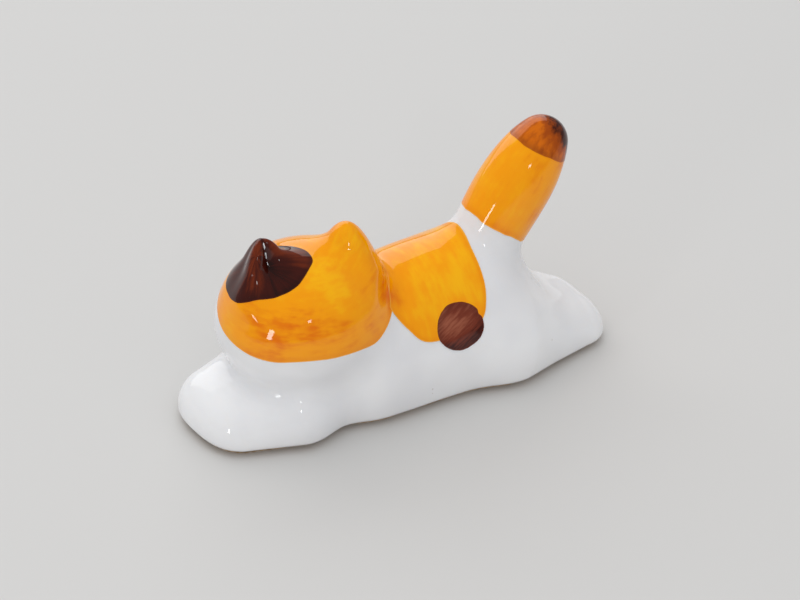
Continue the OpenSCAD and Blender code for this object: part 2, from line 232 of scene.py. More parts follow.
def around_ear(points, side):
    """Places seen from the root of an ear, and how far the ear stands out on their side: above
    0 on the two ridges that run down beside its hollow, and -1 in the middle of the hollow."""
    off = points - EAR_ROOTS[side] - EAR_SHIFT[side]
    turn = np.arctan2(off[:, 1], off[:, 0]) - math.radians(EAR_HOLLOW_TURN[side])
    return off, -np.cos(3 * turn) * (1 + np.cos(turn)) / 2


def from_ear(points, side):
    """Distance from an ear: a cone with a rounded tip, pinched into ridges beside a hollow. It
    is cut off inside the head."""
    off, ridges = around_ear(points, side)
    flare = EAR_FLARE[side] * (1 + EAR_PINCH[side] * ridges)
    hang = EAR_TIP_ROUND[side] / EAR_FLARE[side] ** 2
    drop = np.hypot(np.hypot(off[:, 0], off[:, 1]) / flare, hang) - hang
    cone = (off[:, 2] + drop - EAR_RISE) * EAR_FLARE[side] / math.hypot(EAR_FLARE[side], 1)
    return -soft_min(-cone, off[:, 2] + EAR_SINK, EAR_SINK)


def from_tail(points):
    """Distance from the tail, whose nearest place on the axis is found in a few steps."""
    bend, way, root = TAIL_CURVE
    share = (points - TAIL_ROOT) @ (TAIL_TIP - TAIL_ROOT) / ((TAIL_TIP - TAIL_ROOT) ** 2).sum()
    for _ in range(TAIL_STEPS):
        off = (share * share)[:, None] * bend + share[:, None] * way + root - points
        slope = 2 * share[:, None] * bend + way
        step = (off * slope).sum(1) / ((slope * slope).sum(1) + 2 * off @ bend)
        share = np.clip(share - step, -1, 2)
    # A narrowing tail leaves its nearest ball a little further back
    taper = np.polyval(np.polyder(TAIL_SWELL), np.clip(share, 0, 1)) / (slope * slope).sum(1)
    share = np.clip(share + taper * np.linalg.norm(off, axis=1), 0, 1)
    off = (share * share)[:, None] * bend + share[:, None] * way + root - points
    return np.linalg.norm(off, axis=1) - np.polyval(TAIL_SWELL, share)


def soft_min(a, b, width):
    """Smaller of two distances, rounded off over a width."""
    overlap = np.maximum(width - np.abs(a - b), 0) / width
    return np.minimum(a, b) - overlap * overlap * width / 4


# Waves of a skin smoothed by hand: direction, length and height, and where each starts
WAVES = [((0.9, 0.2, 0.4), 17.0, 0.05, 0.4), ((-0.3, 0.8, 0.5), 13.0, 0.05, 2.1),
         ((0.5, -0.6, 0.7), 10.0, 0.035, 4.0), ((0.2, 0.7, -0.8), 7.5, 0.02, 1.2),
         ((-0.8, -0.4, 0.6), 6.0, 0.012, 5.1)]


def waves(points):
    """How deep the skin lies in its waves at points."""
    total = np.zeros(len(points))
    for way, length, height, start in WAVES:
        total += height * np.sin(2 * math.pi * (points @ unit(way)) / length + start)
    return total


def from_figure(points):
    """Distance of points from the skin of the figure, before it is cut flat."""
    left, right = [from_core(points, leg) for leg in FORELEGS]
    distance = soft_min(from_core(points, TORSO), soft_min(left, right, FOREPAW_BLEND), LEG_BLEND)
    for leg in HIND_LEGS:
        distance = soft_min(distance, from_core(points, leg), LEG_BLEND)
    distance = soft_min(distance, from_core(points, HEAD), NECK_BLEND)
    for side in SIDES:
        distance = soft_min(distance, from_ear(points, side), EAR_BLEND[side])
    return soft_min(distance, from_tail(points), TAIL_BLEND) + waves(points)


def from_skin(points):
    """Distance from the glazed skin, cut flat over the foot with a rolled edge."""
    return -soft_min(-from_figure(points), points[:, 2] - FOOT_HEIGHT, EDGE_ROLL)


def from_foot(points):
    """Distance from the ground foot, which lies inside the outline of the figure above it and
    reaches a little into the figure."""
    above = np.column_stack([points[:, :2], np.full(len(points), FOOT_HEIGHT)])
    inside = soft_min(-FOOT_INSET - from_figure(above), points[:, 2], FOOT_ROUND)
    return -np.minimum(inside, FOOT_HEIGHT + FOOT_OVERLAP - points[:, 2])


def slope_of(field, points):
    """How fast a field grows along each axis."""
    return np.stack([field(points + PROBE * axis) - field(points - PROBE * axis)
                     for axis in AXES], 1) / (2 * PROBE)


def settle(field, points, steps):
    """Points moved onto the surface where the field is zero."""
    for _ in range(steps):
        slope = slope_of(field, points)
        squared = np.maximum((slope * slope).sum(1), LEAST_SQUARED_SLOPE)
        points = points - (field(points) / squared)[:, None] * slope
    return points


# A surface as one closed mesh of four-sided faces
def net_of(field, low, high, step):
    """Points and faces of the surface where a field is zero, with one point in each cell of a
    grid that the surface passes through."""
    counts = np.ceil((high - low) / step).astype(int) + 1
    index = np.stack(np.meshgrid(*[np.arange(n) for n in counts], indexing="ij"), -1)
    value = field((low + step * index).reshape(-1, 3)).reshape(counts)
    inside = value < 0
    corners = index[:2, :2, :2].reshape(-1, 3)

    def at_corner(grid, corner):
        return grid[tuple(slice(c, n - 1 + c) for c, n in zip(corner, counts))]

    full = sum(at_corner(inside, c).astype(int) for c in corners)
    cells = np.argwhere((full > 0) & (full < len(corners)))
    total = np.zeros((len(cells), 3))
    cuts = np.zeros((len(cells), 1))
    for a, b in itertools.combinations(corners, 2):
        if abs(a - b).sum() != 1:
            continue
        from_a = value[tuple((cells + a).T)]
        from_b = value[tuple((cells + b).T)]
        crossed = (from_a < 0) != (from_b < 0)
        share = np.where(crossed, from_a / np.where(crossed, from_a - from_b, 1), 0)
        total += np.where(crossed[:, None], a + share[:, None] * (b - a), 0)
        cuts += crossed[:, None]
    points = low + step * (cells + total / cuts)
    number = -np.ones(counts - 1, int)
    number[tuple(cells.T)] = np.arange(len(cells))
    faces = []
    for axis in range(3):
        here, there = [[slice(1, -1)] * 3 for _ in range(2)]
        there[axis] = slice(2, None)
        change = inside[tuple(here)].astype(int) - inside[tuple(there)].astype(int)
        places = np.argwhere(change != 0) + 1
        u, v = AXES[(axis + 1) % 3].astype(int), AXES[(axis + 2) % 3].astype(int)
        quad = np.stack([number[tuple((places - back).T)] for back in (u + v, v, 0 * u, u)], 1)
        inward = change[tuple((places - 1).T)] < 0
        quad[inward] = quad[inward][:, ::-1]
        faces.append(quad)
    return points, np.concatenate(faces)


def relaxed(field, points, faces, steps):
    """Points evened out along the surface, so that the faces come out alike."""
    ends = np.concatenate([faces[:, [i, (i + 1) % 4]] for i in range(4)])
    counts = np.bincount(ends[:, 0], minlength=len(points))[:, None]
    for _ in range(steps):
        sums = np.stack([np.bincount(ends[:, 0], points[ends[:, 1], i], len(points))
                         for i in range(3)], 1)
        points = settle(field, (points + sums / counts) / 2, 1)
    return points


def surface(field, low, high, step):
    """Points and faces of a smooth closed surface where a field is zero."""
    points, faces = net_of(field, low, high, step)
    return relaxed(field, settle(field, points, SETTLE_STEPS), faces, RELAX_STEPS), faces


# Pieces
def add_mesh(name, points, faces, material, slot, nodes, normals, values=None):
    """A smooth mesh in metres that stands for CAD nodes and rides on the body."""
    mesh = bpy.data.meshes.new(name)
    mesh.from_pydata((points + FIGURE_SHIFT) * MM, [], [list(map(int, face)) for face in faces])
    mesh.polygons.foreach_set("use_smooth", [True] * len(mesh.polygons))
    for key, value in (values or {}).items():
        kind = "FLOAT" if value.ndim == 1 else "FLOAT_VECTOR"
        data = mesh.attributes.new(key, kind, "POINT").data
        data.foreach_set("value" if value.ndim == 1 else "vector", value.ravel())
    mesh.normals_split_custom_set_from_vertices(normals.tolist())
    mesh.materials.append(material)
    piece = bpy.data.objects.new(name, mesh)
    bpy.context.scene.collection.objects.link(piece)
    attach(piece, "root")
    if nodes:
        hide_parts(*nodes)


CLAY_NODES = ["torso", "left_foreleg", "right_foreleg", "left_hind_leg", "right_hind_leg",
              "head", "left_ear", "right_ear", "tail"]


def skin_mesh():
    """Points and faces of the whole glazed skin."""
    low = np.array([-OVERALL_LENGTH / 2, -TORSO_WIDTH / 2, 0]) - ROOM_BELOW
    high = np.array([OVERALL_LENGTH / 2, TORSO_WIDTH / 2, TAIL_TOP]) + ROOM_ABOVE
    return surface(from_skin, low, high, SKIN_STEP)


def add_body(skin, material):
    """The glazed skin, as one piece."""
    normals = unit(slope_of(from_skin, skin[0]))
    add_mesh("porcelain_body", *skin, material, "white_glaze", CLAY_NODES, normals)


def add_foot(material):
    """The bare foot under the figure, as a piece of its own."""
    reach = np.array([OVERALL_LENGTH / 2, TORSO_WIDTH / 2 + FOOT_ROOM, 2 * FOOT_STEP])
    points, faces = surface(from_foot, -reach, reach, FOOT_STEP)
    add_mesh("ground_foot", points, faces, material, "bare_clay", ["foot"],
             unit(slope_of(from_foot, points)))


# Coats of colour, each a thin sheet cut out of the skin
def used_only(points, faces):
    """The faces with the points that they use, and no others."""
    used, number = np.unique(faces, return_inverse=True)
    return points[used], number.reshape(faces.shape)


def finer(points, faces):
    """Each face split into four, with its new points settled on the skin."""
    ends = np.sort(np.concatenate([faces[:, [i, (i + 1) % 4]] for i in range(4)]), axis=1)
    edges, number = np.unique(ends, axis=0, return_inverse=True)
    middles = np.concatenate([points[edges].mean(axis=1), points[faces].mean(axis=1)])
    half = len(points) + number.reshape(4, len(faces)).T
    centre = len(points) + len(edges) + np.arange(len(faces))
    split = [np.stack([faces[:, i], half[:, i], centre, half[:, i - 1]], 1) for i in range(4)]
    return np.concatenate([points, settle(from_skin, middles, 1)]), np.concatenate(split)


def cut_out(points, faces, depth):
    """The part of a mesh whose depth is zero or more, with new points where its edges are cut."""
    count = len(points)
    inside = depth >= 0
    whole = inside[faces].all(axis=1)
    kept = faces[whole].tolist()
    ends, number = [], {}

    def cut(a, b):
        if depth[a] == 0 or depth[b] == 0:
            return a if depth[a] == 0 else b
        key = (min(a, b), max(a, b))
        if key not in number:
            number[key] = count + len(ends)
            ends.append(key)
        return number[key]

    for face in faces[inside[faces].any(axis=1) & ~whole].tolist():
        for corners in (face[:3], [face[0]] + face[2:]):
            ring = []
            for a, b in zip(corners, corners[1:] + corners[:1]):
                if inside[a]:
                    ring.append(a)
                if inside[a] != inside[b]:
                    ring.append(cut(a, b))
            ring = list(dict.fromkeys(ring))
            if len(ring) > 2:
                kept.append(ring)
    if ends:
        a, b = np.array(ends).T
        share = (depth[a] / (depth[a] - depth[b]))[:, None]
        border = settle(from_skin, points[a] + share * (points[b] - points[a]), 1)
        points = np.concatenate([points, border])
    used = sorted({i for face in kept for i in face})
    place = {old: new for new, old in enumerate(used)}
    return points[used], [[place[i] for i in face] for face in kept]


def add_coat(name, skin, depth, strokes, wash_and_shade, material, slot, nodes=(), lift=1, fineness=1):
    """A thin closed sheet over the skin, where the depth, which is how far a point lies inside
    the outline of the sheet, is above zero. Strokes is the place of a point in the brush marks,
    and wash_and_shade is how deep the colour is there, from 0 to 1: how thick it lies, and on
    some coats painted shade and painted light as well. The sheet rises over the skin by the
    lift, as a multiple of the least one, and its faces are split as often as the fineness says."""
    points, faces = skin
    for level in range(fineness + 1):
        step = SKIN_STEP / 2 ** level
        near = (depth(points) > -COAT_MARGIN * step)[faces].any(axis=1)
        points, faces = used_only(points, faces[near])
        if level < fineness:
            points, faces = finer(points, faces)
    rim = depth(points)
    rim[np.abs(rim) < SNAP_SHARE * step] = 0
    sheet, top = cut_out(points, faces, rim)
    normals = unit(slope_of(from_skin, sheet))
    count = len(sheet)
    edges = {(face[i - 1], face[i]) for face in top for i in range(len(face))}
    walls = [[b, a, a + count, b + count] for a, b in sorted(edges) if (b, a) not in edges]
    under = [[i + count for i in face[::-1]] for face in top]
    points = np.concatenate([sheet + lift * COAT_LIFT * normals, sheet - COAT_SINK * normals])
    values = {"strokes": np.tile(strokes(sheet), (2, 1)), "wash_and_shade": np.tile(wash_and_shade(sheet), 2),
              "rim": np.tile(np.maximum(depth(sheet), 0), 2)}
    add_mesh(name, points, top + under + walls, material, slot, nodes,
             np.concatenate([normals, -normals]), values)


def through(values, at):
    """A smooth closed curve through evenly spaced values, read at shares of the way round it."""
    values = np.asarray(values, float)
    place = np.asarray(at) * len(values)
    first = np.floor(place).astype(int)
    share = (place - first).reshape(place.shape + (1,) * (values.ndim - 1))
    a, b, c, d = [values[(first + step) % len(values)] for step in (-1, 0, 1, 2)]
    bend = 2 * a - 5 * b + 4 * c - d + share * (3 * (b - c) + d - a)
    return b + share * (c - a + share * bend) / 2


def wobble(turn, ripple):
    """Small wandering of a brushed edge, for turns in degrees round it."""
    size, start = ripple
    angle = np.radians(turn)
    return size * sum(height * np.sin(count * angle + shift * start)
                      for count, height, shift in EDGE_WAVES)


def within(places, middle, corners, ripple):
    """How far places on a plane lie inside a smooth outline through corners, as seen from its
    middle. The outline wanders by the ripple."""
    curve = through(corners, np.arange(OUTLINE_POINTS) / OUTLINE_POINTS) - middle
    turns = np.degrees(np.arctan2(curve[:, 1], curve[:, 0]))
    order = np.argsort(turns)
    off = places - middle
    turn = np.degrees(np.arctan2(off[:, 1], off[:, 0]))
    edge = np.interp(turn, turns[order], np.linalg.norm(curve, axis=1)[order], period=360)
    return edge + wobble(turn, ripple) - np.linalg.norm(off, axis=1)


def eased(value, low, high):
    """A value eased from 0 to 1 between a low and a high."""
    share = np.clip((value - low) / (high - low), 0, 1)
    return share * share * (3 - 2 * share)


def soft_spots(places, spots):
    """How much deeper the colour is, as a sum of soft spots of middle, radius and height. On the
    head and the back they add painted shade and painted light.
    """
    total = np.zeros(len(places))
    for middle, radius, height in spots:
        total += height * np.exp(-((np.linalg.norm(places - middle, axis=1) / radius) ** 2))
    return total


# Colour on the head. A map of the head holds degrees from its crown, and points further from
# its middle than the reach lie off the map. A degree is this long at the cheeks.
HEAD_MAP_REACH = 20.0
HEAD_DEGREE = HEAD_WIDTH / 2 * math.radians(1)

# Edge of the orange cap, as degrees down from the crown, in equal steps from the back of the
# head past the torso, the face and the outer cheek
CAP_EDGE = [90, 91.5, 93, 87.5, 79, 73, 70, 70, 68, 64, 60, 55,
            51, 52, 57, 64, 71, 77, 82, 86, 89, 90, 89.5, 89.5]
CAP_RIPPLE = (0.5, 1.0)

# Brush marks of the cap run down from its crown, and are this fine round it and down it. They
# spread out from a hub of this many degrees.
CAP_STROKES = (3.5, 1.1)
CAP_HUB = 20

# Places on the map of the head where the orange is deeper or lighter: deeper toward the neck and
# along the lower band, as painted shade, and lighter high on the near side, as painted light
CAP_WASH = 0.5
CAP_POOLS_AND_SHADE = [((52, -58), 22, 0.35), ((62, -26), 20, 0.3), ((40, 64), 17, 0.5),
             ((76, 10), 20, 0.25), ((40, 10), 24, -0.35), ((15, 29), 13, -0.25)]

# Outline of the brown patch round the left ear, on the map of the head
EAR_PATCH_EDGE = [(-6, -3.8), (4, 2.4), (14, 2.2), (22, -5.5), (28.5, -14.5), (30.3, -25),
                  (27, -37), (19.5, -48.5), (10, -57.5), (-4, -60.2), (-17, -57), (-25, -48),
                  (-26, -36), (-21, -23), (-14, -12)]
EAR_PATCH_MIDDLE = np.array([4.0, -30.0])
EAR_PATCH_RIPPLE = (0.5, 2.0)
EAR_STROKES = (4, 0.25)

# The brown is painted deeper in the hollow of the ear, as painted shade, and lighter on its ridges
# and at its tip, as painted light. The tip starts between these heights
EAR_WASH = 0.62
RIDGE_LIGHT_AND_HOLLOW_SHADE = 0.3
TIP_PAINTED_LIGHT = 0.3
TIP_LIGHT_STARTS = (24, 28)


def on_head(points):
    """Places on a map of the head, in degrees from its crown: to its back, and to the torso."""
    way = points - HEAD_MIDDLE
    reach = np.linalg.norm(way, axis=1)
    down = np.degrees(np.arccos(np.clip(way[:, 2] / reach, -1, 1)))
    down = np.where(reach < HEAD_MAP_REACH, down, 180)
    round_crown = np.arctan2(way[:, 0], -way[:, 1])
    return down[:, None] * np.stack([np.cos(round_crown), np.sin(round_crown)], 1)


def add_head_cap(skin, material):
    """Orange over the crown and the back of the head."""
    turn = np.radians(np.arange(len(CAP_EDGE)) * 360 / len(CAP_EDGE))
    edge = np.array(CAP_EDGE)[:, None] * np.stack([np.cos(turn), np.sin(turn)], 1)

    def depth(points):
        return HEAD_DEGREE * within(on_head(points), np.zeros(2), edge, CAP_RIPPLE)

    def strokes(points):
        place = on_head(points)
        down = np.linalg.norm(place, axis=1)
        return np.column_stack([CAP_STROKES[0] * place / np.maximum(down, CAP_HUB)[:, None],
                                CAP_STROKES[1] * HEAD_DEGREE * down])

    def wash_and_shade(points):
        # Painted shade toward the neck and along the lower band, and painted light high on the near
        # side
        return CAP_WASH + soft_spots(on_head(points), CAP_POOLS_AND_SHADE)
    add_coat("head_cap_colour", skin, depth, strokes, wash_and_shade, material, "orange_colour", ["head_cap"])


def add_ear_patch(skin, material):
    """Brown round the left ear."""
    edge = np.array(EAR_PATCH_EDGE)

    def depth(points):
        return HEAD_DEGREE * within(on_head(points), EAR_PATCH_MIDDLE, edge, EAR_PATCH_RIPPLE)

    def strokes(points):
        around = unit(on_head(points) - EAR_PATCH_MIDDLE)
        return np.column_stack([EAR_STROKES[0] * around, EAR_STROKES[1] * points[:, 2]])

    def wash_and_shade(points):
        # Painted shade in the hollow, and painted light on the ridges and at the tip
        ridges = around_ear(points, LEFT)[1]
        return EAR_WASH - RIDGE_LIGHT_AND_HOLLOW_SHADE * ridges - TIP_PAINTED_LIGHT * eased(points[:, 2], *TIP_LIGHT_STARTS)
    add_coat("ear_patch_colour", skin, depth, strokes, wash_and_shade, material, "brown_colour",
             ["ear_patch"], lift=2)


# Outline of the orange patch on the back: place along the length, and degrees down the flank.
# It comes to a point in front, on the spine.
BACK_PATCH_MIDDLE = np.array([3.6, 0.0])
BACK_PATCH_EDGE = [(10.9, 0), (10.9, 18), (10.7, 34), (10.1, 46), (9.3, 55), (7.6, 62), (5, 63),
                   (2.3, 62.2), (0.4, 60.6), (-0.9, 56.5), (-2, 48.5), (-2.9, 41), (-3.8, 33),
                   (-4.6, 22), (-4.9, 11)]
BACK_PATCH_FRONT = (-5.0, 0)
BACK_PATCH_RIPPLE = (0.12, 3.0)

# Length of a degree on the flank, and how far the patch reaches past the crease of the neck
FLANK_DEGREE = (RUMP_HEIGHT - BELLY_LINE) * math.radians(1)
NECK_OVERLAP = 0.4

# How fine its brush marks are along the back and down the flank, and how deep the orange is: deeper
# in the crease under the back of the head, as painted shade, lighter on top of the back, as painted
# light, and deeper low on the flank
BACK_STROKES = (0.9, 0.2)
BACK_WASH = 0.35
BACK_POOLS_AND_SHADE = [((-3.5, 6), 4, 0.5), ((4, 6), 4, -0.2), ((5, 14), 3, 0.25)]


def on_flank(points):
    """Places on the unrolled torso: along its length, and down its near flank."""
    down = np.degrees(np.arctan2(-points[:, 1], points[:, 2] - BELLY_LINE))
    return np.column_stack([points[:, 0], FLANK_DEGREE * down])


def add_back_patch(skin, material):
    """Orange over the back, between the head and the tail."""
    near = np.array(BACK_PATCH_EDGE) * (1, FLANK_DEGREE)
    far = (near[1:] * (1, -1))[::-1]
    edge = np.concatenate([near, [BACK_PATCH_FRONT], far])

    def depth(points):
        below_neck = from_core(points, HEAD) - from_core(points, TORSO) + NECK_OVERLAP
        return np.minimum(within(on_flank(points), BACK_PATCH_MIDDLE, edge, BACK_PATCH_RIPPLE),
                          below_neck)

    def strokes(points):
        return np.column_stack([on_flank(points) * BACK_STROKES, np.zeros(len(points))])

    def wash_and_shade(points):
        # Painted shade in the crease under the head, and painted light on top of the back
        return BACK_WASH + soft_spots(on_flank(points), BACK_POOLS_AND_SHADE)
    add_coat("back_patch_colour", skin, depth, strokes, wash_and_shade, material, "orange_colour",
             ["back_patch"], lift=1.5)


# The brown spot on the near flank, by place along the length and height. Its outline has a
# notch: where it lies, how deep it is and how wide. Corners are this many degrees apart.
SPOT_MIDDLE = np.array([5.55, 11.95])
SPOT_RADII = (3.5, 3.05)
SPOT_NOTCH_TURN, SPOT_NOTCH_DEPTH, SPOT_NOTCH_WIDTH = 22, 0.07, 6
SPOT_CORNER_STEP = 6
SPOT_RIPPLE = (0.05, 4.0)

# Its brush marks run this way, and are this fine along it and across it
SPOT_STROKE_WAY = np.array([0.9, 0.43])
SPOT_STROKES = (0.35, 2.6)

# It is painted darker this way, toward the bottom, as painted shade, between two distances from
# its middle. The first number is how thick the brown lies before that, and the second how much
# painted shade is added.
SPOT_SHADE_WAY = (0.2, -0.98)
SPOT_SHADE_STARTS = (-0.3, 2.2)
SPOT_WASH_AND_SHADE = (0.3, 0.65)


def add_flank_spot(skin, material):
    """A round brown spot on the near flank."""
    turn = np.arange(0, 360, SPOT_CORNER_STEP)
    notch = 1 - SPOT_NOTCH_DEPTH * np.exp(-((turn - SPOT_NOTCH_TURN) / SPOT_NOTCH_WIDTH) ** 2)
    angle = np.radians(turn)
    edge = SPOT_MIDDLE + SPOT_RADII * (notch * (np.cos(angle), np.sin(angle))).T

    def depth(points):
        inside = within(points[:, [0, 2]], SPOT_MIDDLE, edge, SPOT_RIPPLE)
        return np.where(points[:, 1] < 0, inside, FAR_OUTSIDE)

    def strokes(points):
        along = points[:, [0, 2]] @ SPOT_STROKE_WAY
        across = points[:, [2, 0]] @ (SPOT_STROKE_WAY * (1, -1))
        return np.column_stack([SPOT_STROKES[0] * along, SPOT_STROKES[1] * across,
                                np.zeros(len(points))])

    def wash_and_shade(points):
        # Painted shade toward the bottom of the spot
        down = (points[:, [0, 2]] - SPOT_MIDDLE) @ SPOT_SHADE_WAY
        return SPOT_WASH_AND_SHADE[0] + SPOT_WASH_AND_SHADE[1] * eased(down, *SPOT_SHADE_STARTS)
    add_coat("flank_spot_colour", skin, depth, strokes, wash_and_shade, material, "brown_colour",
             ["flank_spot"], lift=2)


# Colour on the tail. Places are down the tail from the middle of its tip. The edge of the
# brown tip slants, lower in front than behind, and the orange band starts beneath it.
TAIL_TIP_END, TAIL_TIP_SLANT = 0.95, 0.28
TAIL_TIP_RIPPLE = (0.1, 5.0)
TAIL_TIP_STROKES = 0.2

# The brown is painted darker this way, toward the right of the picture, as painted shade, as on
# the flank. The first number is how thick it lies, and the second how much painted shade is added
TAIL_TIP_SHADE_WAY = unit((0.85, -0.25, 0.35))
TAIL_TIP_SHADE_STARTS = (0.8, 3.4)
TAIL_TIP_WASH_AND_SHADE = (0.25, 0.75)

TAIL_BAND_TOP = 0.2
TAIL_BAND_END = 13.2
TAIL_BAND_RIPPLE = (0.18, 6.0)
TAIL_BAND_STROKES = 0.12

# The band is painted darker at the right of the picture, as painted shade, and lighter at the left,
# as painted light, over this reach
TAIL_BAND_RIGHT = unit((0.87, -0.48, 0))
TAIL_BAND_REACH = 4
TAIL_BAND_WASH = 0.6
TAIL_BAND_PAINTED_SHADE = 0.2
TAIL_BAND_PAINTED_LIGHT = 0.15


def on_tail(points):
    """Distance down the tail from the middle of its tip, and the way across it from its axis,
    to the front and to the far side, with its turn in degrees."""
    off = points - TAIL_TIP
    across = np.stack([off @ np.cross(AXES[1], TAIL_DOWN), off[:, 1]], 1)
    return off @ TAIL_DOWN, across, np.degrees(np.arctan2(across[:, 1], across[:, 0]))


def add_tail_tip(skin, material):
    """Brown over the tip of the tail."""
    def depth(points):
        along, _, turn = on_tail(points)
        edge = TAIL_TIP_END + TAIL_TIP_SLANT * np.cos(np.radians(turn))
        return edge + wobble(turn, TAIL_TIP_RIPPLE) - along

    def strokes(points):
        along, across, _ = on_tail(points)
        return np.column_stack([across, TAIL_TIP_STROKES * along])

    def wash_and_shade(points):
        # Painted shade toward the right of the picture
        back = (points - TAIL_TIP) @ TAIL_TIP_SHADE_WAY
        return TAIL_TIP_WASH_AND_SHADE[0] + TAIL_TIP_WASH_AND_SHADE[1] * eased(back, *TAIL_TIP_SHADE_STARTS)
    add_coat("tail_tip_colour", skin, depth, strokes, wash_and_shade, material, "brown_colour",
             ["tail_tip"], lift=2)


def add_tail_band(skin, material):
    """Orange round the upper part of the tail."""
    def depth(points):
        along, _, turn = on_tail(points)
        end = TAIL_BAND_END + wobble(turn, TAIL_BAND_RIPPLE)
        return np.minimum(along - TAIL_BAND_TOP, end - along)

    def strokes(points):
        along, across, _ = on_tail(points)
        return np.column_stack([across, TAIL_BAND_STROKES * along])

    def wash_and_shade(points):
        # Painted shade to the right of the picture, and painted light to the left
        side = (points - TAIL_TIP) @ TAIL_BAND_RIGHT
        return (TAIL_BAND_WASH + TAIL_BAND_PAINTED_SHADE * eased(side, 0, TAIL_BAND_REACH)
                - TAIL_BAND_PAINTED_LIGHT * eased(-side, 0, TAIL_BAND_REACH))
    add_coat("tail_band_colour", skin, depth, strokes, wash_and_shade, material, "orange_colour",
             ["tail_band"])


# Painted face, which the photo hides: closed eyes, a nose and a mouth. Each line has its
# degrees round from the middle of the face and down from the crown, half its length, how far
# its middle hangs, half its width, and the share of the width that is left at its ends.
FACE_MIDDLE = 180 + HEAD_TURN
FACE_MARKS = {"left_eye_line": (-27, 84, 9, 4.5, 1.3, 0.35),
              "right_eye_line": (27, 84, 9, 4.5, 1.3, 0.35),
              "nose": (0, 95, 2.3, 0.5, 1.4, 0.3),
              "left_mouth_line": (-3.4, 98.5, 3.4, 2.2, 0.7, 0.4),
              "right_mouth_line": (3.4, 98.5, 3.4, 2.2, 0.7, 0.4)}
MARK_POINTS = 60
MARK_STROKES = (0.2, 2.0)
MARK_WASH = 0.5
MARK_FINENESS = 3


def add_mark(name, skin, material, mark):
    """A brushed line on the face."""
    turn, down, half_length, hang, half_width, ends = mark
    share = np.linspace(-1, 1, MARK_POINTS)
    line = np.stack([half_length * share, hang * (1 - share ** 2)], 1) + (FACE_MIDDLE + turn, down)
    width = half_width * (ends + (1 - ends) * np.sqrt(np.maximum(1 - share ** 2, 0)))

    def place(points):
        on_map = on_head(points)
        around = np.degrees(np.arctan2(on_map[:, 1], on_map[:, 0])) % 360
        return np.column_stack([around, np.linalg.norm(on_map, axis=1)])

    def depth(points):
        gaps = np.linalg.norm(place(points)[:, None] - line, axis=2)
        return HEAD_DEGREE * (width - gaps).max(axis=1)

    def strokes(points):
        return np.column_stack([place(points) * MARK_STROKES, np.zeros(len(points))])

    def wash_and_shade(points):
        return np.full(len(points), MARK_WASH)
    add_coat(name, skin, depth, strokes, wash_and_shade, material, "brown_colour", fineness=MARK_FINENESS)


def add_face(skin, material):
    """All the lines of the face."""
    for name, mark in FACE_MARKS.items():
        add_mark(name, skin, material, mark)


# Materials. The scales of noises are in marks to the metre, so that 1000 gives marks about
# 1 mm wide, and the depth of pinholes is a share of the height of the ripples.
GLAZE_RIPPLES = 260.0
GLAZE_PINHOLES = 2600.0
PINHOLE_DEPTH = 0.25
COLOUR_CLOUDS = 170.0
WHITE_CLOUDS = 90.0
WHITE_SPECKS = 1100.0
CLAY_GRIT = 1800.0
CLAY_STAINS = 110.0

# Scales of the noises along brush marks, and how high the colour stands up in them
STROKE_RIDGES = 1.7
STROKE_STREAKS = 1.1
PAINT_RIDGES = 0.12

# Values of a noise, from 0 to 1, between which its marks come up to their full strength
PINHOLE_RANGE = (0.78, 0.84)
SPECK_RANGE = (0.86, 0.89)
STAIN_RANGE = (0.35, 0.7)
GRIT_RANGE = (0.6, 0.75)
STREAK_RANGE = (0.25, 0.75)
CLOUD_RANGE = (0.3, 0.7)

# How strongly specks show, and how far streaks and clouds change the thickness of the colour
SPECK_STRENGTH = 0.3
STREAK_SWING = (-0.5, 0.5)
CLOUD_SWING = (-0.18, 0.18)

# Colour gathers inside the edge of a coat and thins out at it, between these distances from
# the edge and with these strengths
GATHER_RANGE, GATHER_FADE = (0.15, 1.2), (0.3, 0.0)
THIN_RANGE, THIN_FADE = (0.0, 0.22), (0.6, 0.0)

# The glaze thins out over the clay between these heights in metres, with a ragged edge
GLAZE_END = (0.00105, 0.0015)
GLAZE_END_RAGS = 500.0
GLAZE_END_RAG_HEIGHT = 0.0006

CLAY = (176, 146, 112)
WARM_CLAY = (196, 170, 138)
DARK_GRIT = (130, 100, 72)
COOL_WHITE = (231, 231, 233)
CLEAR_WHITE = (239, 239, 240)
IRON_SPECK = (160, 140, 120)

# Ceramic colours: where they lie thick, evenly and thin, and where they end. On some coats the
# deep and light colours also carry painted shade and painted light. The last number is how
# strongly their streaks show.
PAINTS = {"orange_colour": ((232, 112, 0), (252, 160, 0), (255, 184, 8), (255, 200, 84), 0.26),
          "ear_brown": ((28, 4, 2), (62, 14, 5), (112, 40, 10), (104, 42, 8), 0.4),
          "spot_brown": ((58, 10, 2), (116, 48, 30), (156, 88, 64), (112, 42, 16), 0.38),
          "tip_brown": ((58, 12, 0), (166, 72, 0), (212, 106, 0), (196, 96, 0), 0.42),
          "mark_brown": ((50, 16, 10), (70, 28, 16), (96, 44, 26), (110, 60, 40), 0.4)}


def add_node(tree, kind, inputs=None, **settings):
    """A shader node with its settings, and sockets or values for its inputs."""
    node = tree.nodes.new("ShaderNode" + kind)
    for key, value in settings.items():
        setattr(node, key, value)
    for key, value in (inputs or {}).items():
        plug(tree, node.inputs[key], value)
    return node


def plug(tree, socket, value):
    """Link a socket to another one, or set it to a value."""
    if isinstance(value, bpy.types.NodeSocket):
        tree.links.new(value, socket)
    else:
        socket.default_value = value


def mix(tree, share, a, b):
    """Colour a turning into colour b with the share."""
    node = tree.nodes.new("ShaderNodeMix")
    node.data_type = "RGBA"
    for socket, value in zip((node.inputs[0], node.inputs[6], node.inputs[7]), (share, a, b)):
        plug(tree, socket, value)
    return node.outputs[2]


